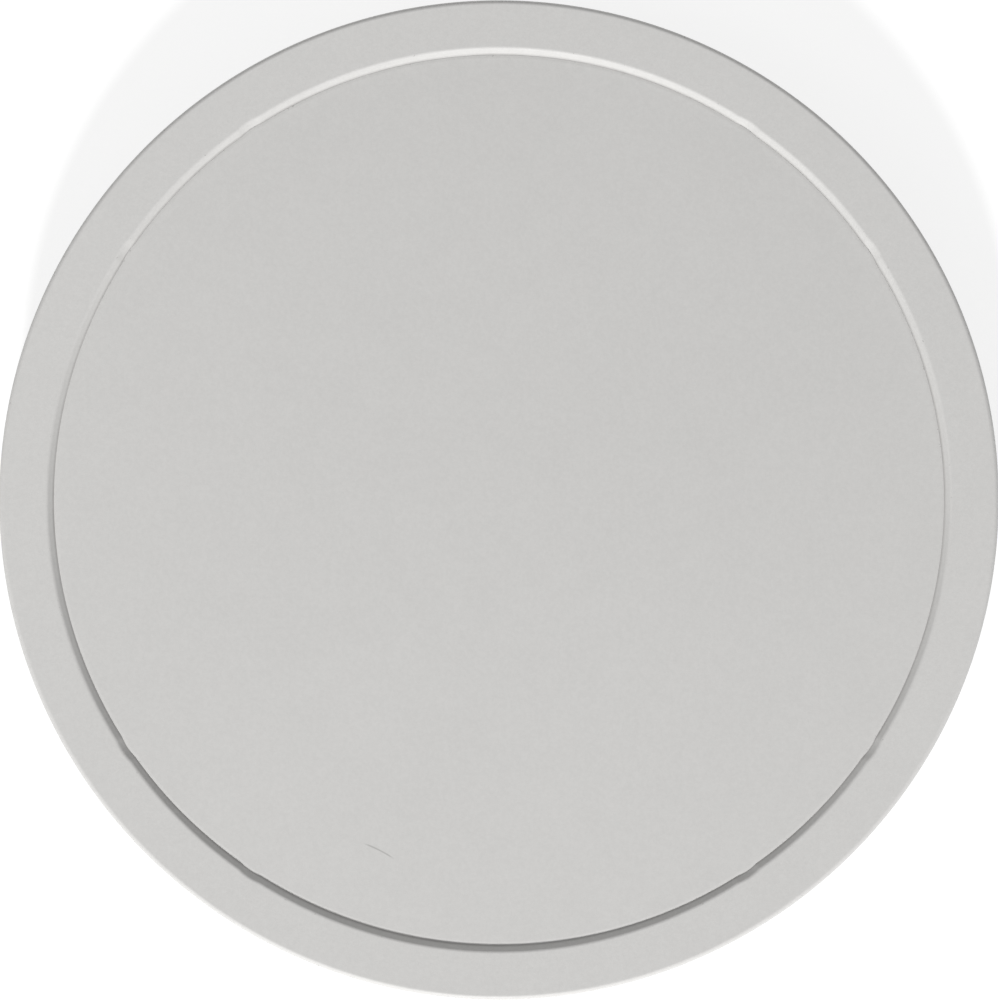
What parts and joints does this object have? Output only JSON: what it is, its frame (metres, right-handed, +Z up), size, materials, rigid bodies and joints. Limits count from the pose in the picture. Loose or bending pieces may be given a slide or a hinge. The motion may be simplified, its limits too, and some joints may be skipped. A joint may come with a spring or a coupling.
{
  "type": "round manhole cover and frame",
  "caption": "Round steel access cover: a plain recessed lid with a conical edge that lifts out of a pressed, webbed frame with a seal, anchor holes and levelling screws.",
  "frame": {"origin": "centre of the base ring's underside", "axes": "+Z up, out of the lid's top face; +Y is the top of the plan view, +X its right"},
  "size_m": [0.7199, 0.72, 0.0749],
  "materials": {
    "frame_paint": "satin",
    "lid_paint": "satin",
    "seal_rubber": "matte",
    "stainless_channel": "satin",
    "stainless_fasteners": "satin",
    "zinc_plated_steel": "satin",
    "guide_plastic": "matte"
  },
  "bodies": {
    "frame": {"frame_rim": "frame_paint", "seat_ring": "frame_paint", "frame_collar": "frame_paint", "base_ring": "frame_paint", "frame_web_01": "frame_paint", "frame_web_02": "frame_paint", "frame_web_03": "frame_paint", "frame_web_04": "frame_paint", "frame_web_05": "frame_paint", "frame_web_06": "frame_paint", "frame_web_07": "frame_paint", "frame_web_08": "frame_paint", "frame_web_09": "frame_paint", "frame_web_10": "frame_paint", "frame_web_11": "frame_paint", "frame_web_12": "frame_paint", "gasket_channel": "stainless_channel", "seat_gasket": "seal_rubber", "levelling_nut_1": "zinc_plated_steel", "levelling_nut_2": "zinc_plated_steel", "levelling_nut_3": "zinc_plated_steel"},
    "lid": {"lid_plate": "lid_paint", "lid_edge_band": "lid_paint", "lid_hub_ring": "lid_paint", "lid_rib_1": "lid_paint", "lid_rib_2": "lid_paint", "lid_rib_3": "lid_paint", "lid_rib_4": "lid_paint", "lid_rib_5": "lid_paint", "lid_rib_6": "lid_paint", "lid_rib_7": "lid_paint", "lid_rib_8": "lid_paint", "guide_block_1": "guide_plastic", "guide_block_2": "guide_plastic", "guide_block_3": "guide_plastic", "guide_block_4": "guide_plastic", "guide_screws": "stainless_fasteners", "guide_nuts": "stainless_fasteners"},
    "levelling_screw_1": {"levelling_screw_1": "zinc_plated_steel"},
    "levelling_screw_2": {"levelling_screw_2": "zinc_plated_steel"},
    "levelling_screw_3": {"levelling_screw_3": "zinc_plated_steel"}
  },
  "joints": [
    {"name": "lid_lift", "type": "slide", "parent": "frame", "child": "lid", "axis": [0, 0, 1], "range_m": [0, 0.15]},
    {"name": "levelling_screw_1_feed", "type": "slide", "parent": "frame", "child": "levelling_screw_1", "axis": [0, 0, -1], "range_m": [0, 0.018]},
    {"name": "levelling_screw_2_feed", "type": "slide", "parent": "frame", "child": "levelling_screw_2", "axis": [0, 0, -1], "range_m": [0, 0.018]},
    {"name": "levelling_screw_3_feed", "type": "slide", "parent": "frame", "child": "levelling_screw_3", "axis": [0, 0, -1], "range_m": [0, 0.018]}
  ]
}
